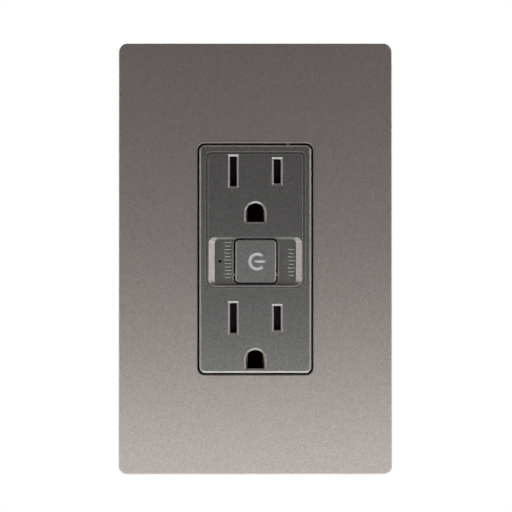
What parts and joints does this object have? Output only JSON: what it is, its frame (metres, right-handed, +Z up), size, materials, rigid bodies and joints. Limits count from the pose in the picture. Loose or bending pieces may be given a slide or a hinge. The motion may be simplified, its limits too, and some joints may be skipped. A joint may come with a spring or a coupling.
{
  "type": "electrical outlet",
  "caption": "Duplex wall outlet with a rocking power button in a recessed window, blade shutters, steel strap, rear body with side terminals, and a screwless cover plate.",
  "frame": {"origin": "middle of the two box screws, on the surface of the wall", "axes": "+X right as seen from the room, +Y into the wall along the box screws, +Z up"},
  "size_m": [0.079, 0.039, 0.1246],
  "materials": {
    "metallic_plate": "satin metallic paint over plastic",
    "metallic_device": "satin metallic paint over plastic",
    "black_plastic": "fine moulded texture",
    "housing_plastic": "fine moulded texture",
    "symbol_lens": "translucent white",
    "clear_plastic": "clear",
    "zinc_steel": "bright zinc plate",
    "screw_steel": "zinc plate",
    "nickel_screw": "bright nickel plate",
    "brass_screw": "bright brass",
    "green_screw": "green dyed zinc plate",
    "contact_brass": "rolled strip",
    "red_fibre": "vulcanised fibre",
    "circuit_board": "green solder mask",
    "component_black": "moulded",
    "relay_case": "smooth blue case",
    "core_steel": "lacquered laminations",
    "can_aluminium": "sleeved can",
    "shield_can": "tinned shield",
    "led_white": "moulded",
    "spring_steel": "spring strip"
  },
  "bodies": {
    "device": {"wall_plate": "metallic_plate", "sub_plate": "black_plastic", "plate_screws": "screw_steel", "strap": "zinc_steel", "box_screws": "screw_steel", "screw_retainers": "red_fibre", "ground_screw": "green_screw", "face_cover": "metallic_device", "status_light_pipe": "clear_plastic", "control_board": "circuit_board", "indicator_leds": "led_white", "tact_switch_body": "component_black", "board_header": "component_black", "shutter_spring_upper": "spring_steel", "shutter_spring_lower": "spring_steel", "shutter_cage_upper": "black_plastic", "shutter_cage_lower": "black_plastic", "middle_housing": "housing_plastic", "neutral_contact": "contact_brass", "hot_contact_upper": "contact_brass", "hot_contact_lower": "contact_brass", "ground_contacts": "contact_brass", "neutral_terminal_screws": "nickel_screw", "hot_terminal_screws": "brass_screw", "neutral_clamp_plates": "nickel_screw", "hot_clamp_plates": "brass_screw", "main_board": "circuit_board", "relay": "relay_case", "transformer": "core_steel", "capacitors": "can_aluminium", "radio_module": "shield_can", "rear_housing": "housing_plastic", "assembly_screws": "screw_steel"},
    "button": {"power_button": "metallic_device", "power_symbol_lens": "symbol_lens"},
    "plunger": {"tact_plunger": "component_black"},
    "shutter_upper": {"shutter_upper": "black_plastic"},
    "shutter_lower": {"shutter_lower": "black_plastic"}
  },
  "joints": [
    {"name": "button_press", "type": "hinge", "parent": "device", "child": "button", "pos_m": [0.00013, -0.00505, -0.00445], "axis": [-1, 0, 0], "range_deg": [0, 2.6], "stiffness_Nm_per_rad": 0.15, "springref_deg": -2.86},
    {"name": "switch_plunger_travel", "type": "slide", "parent": "device", "child": "plunger", "axis": [0, 1, 0], "range_m": [0, 0.00036]},
    {"name": "shutter_upper_slide", "type": "slide", "parent": "device", "child": "shutter_upper", "axis": [-1, 0, 0], "range_m": [0, 0.0026], "stiffness_N_per_m": 60, "springref_m": -0.005, "deforming": ["shutter_spring_upper"]},
    {"name": "shutter_lower_slide", "type": "slide", "parent": "device", "child": "shutter_lower", "axis": [-1, 0, 0], "range_m": [0, 0.0026], "stiffness_N_per_m": 60, "springref_m": -0.005, "deforming": ["shutter_spring_lower"]}
  ],
  "couplings": [
    {"joint": "switch_plunger_travel", "follows": "button_press", "m_per_rad": 0.00785}
  ]
}
